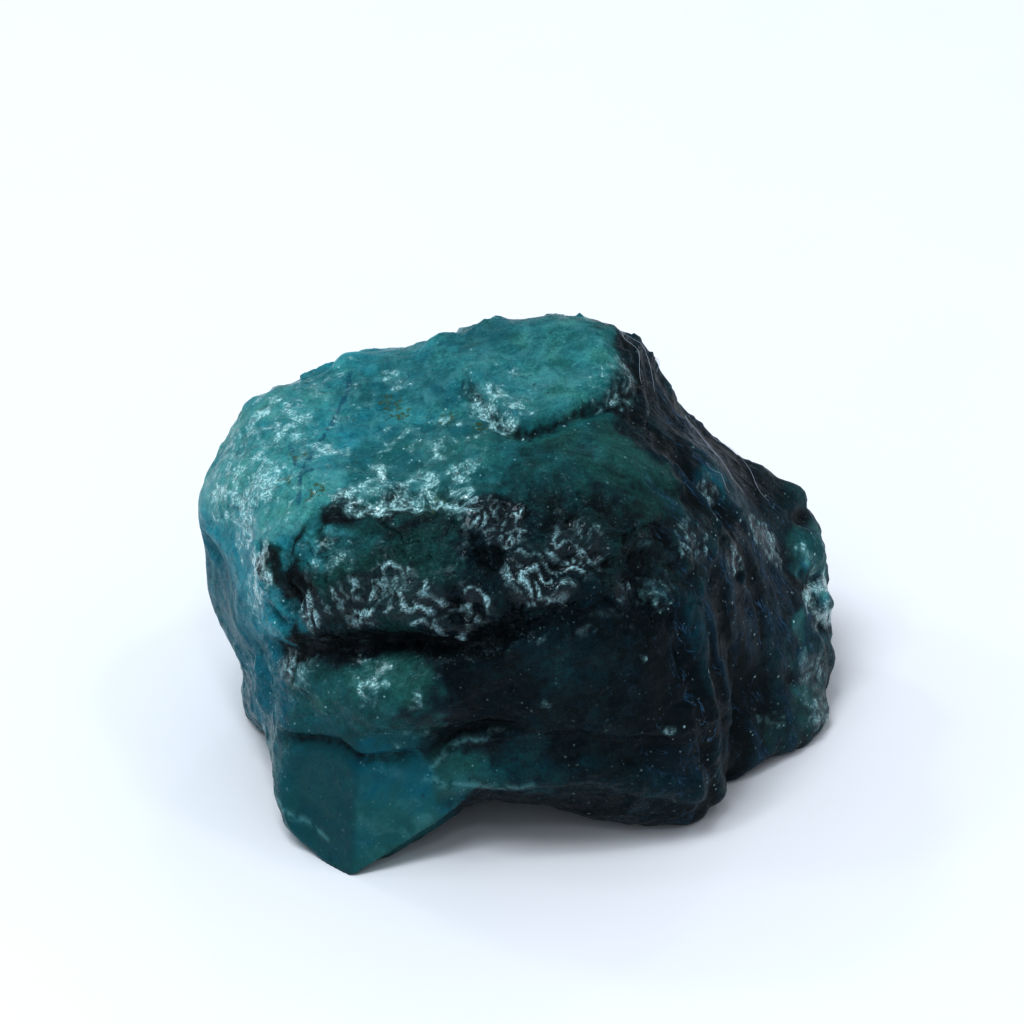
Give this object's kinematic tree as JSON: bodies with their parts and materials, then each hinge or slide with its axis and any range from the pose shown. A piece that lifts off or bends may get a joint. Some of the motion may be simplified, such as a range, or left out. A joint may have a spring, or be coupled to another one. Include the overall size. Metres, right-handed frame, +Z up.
{
  "type": "raw aquamarine stone",
  "caption": "Rough broken lump of dark teal aquamarine with a smooth pale top, a pitted band and a wedge-shaped front foot, resting on its own feet.",
  "frame": {"origin": "middle of the stone's plan, on the plane that it rests on", "axes": "+X along the longest way, from the rounded left shoulder to the knobbed right edge; +Y to the back, away from the front foot; +Z up"},
  "size_m": [0.0309, 0.0221, 0.0208],
  "materials": {
    "beryl": "translucent dark teal beryl, paler and bluer over the top and left, near black over the front and right, with a satin to wet gloss on broken surfaces and frosted white-blue chips"
  },
  "bodies": {
    "root": {"aquamarine": "beryl"}
  },
  "joints": []
}
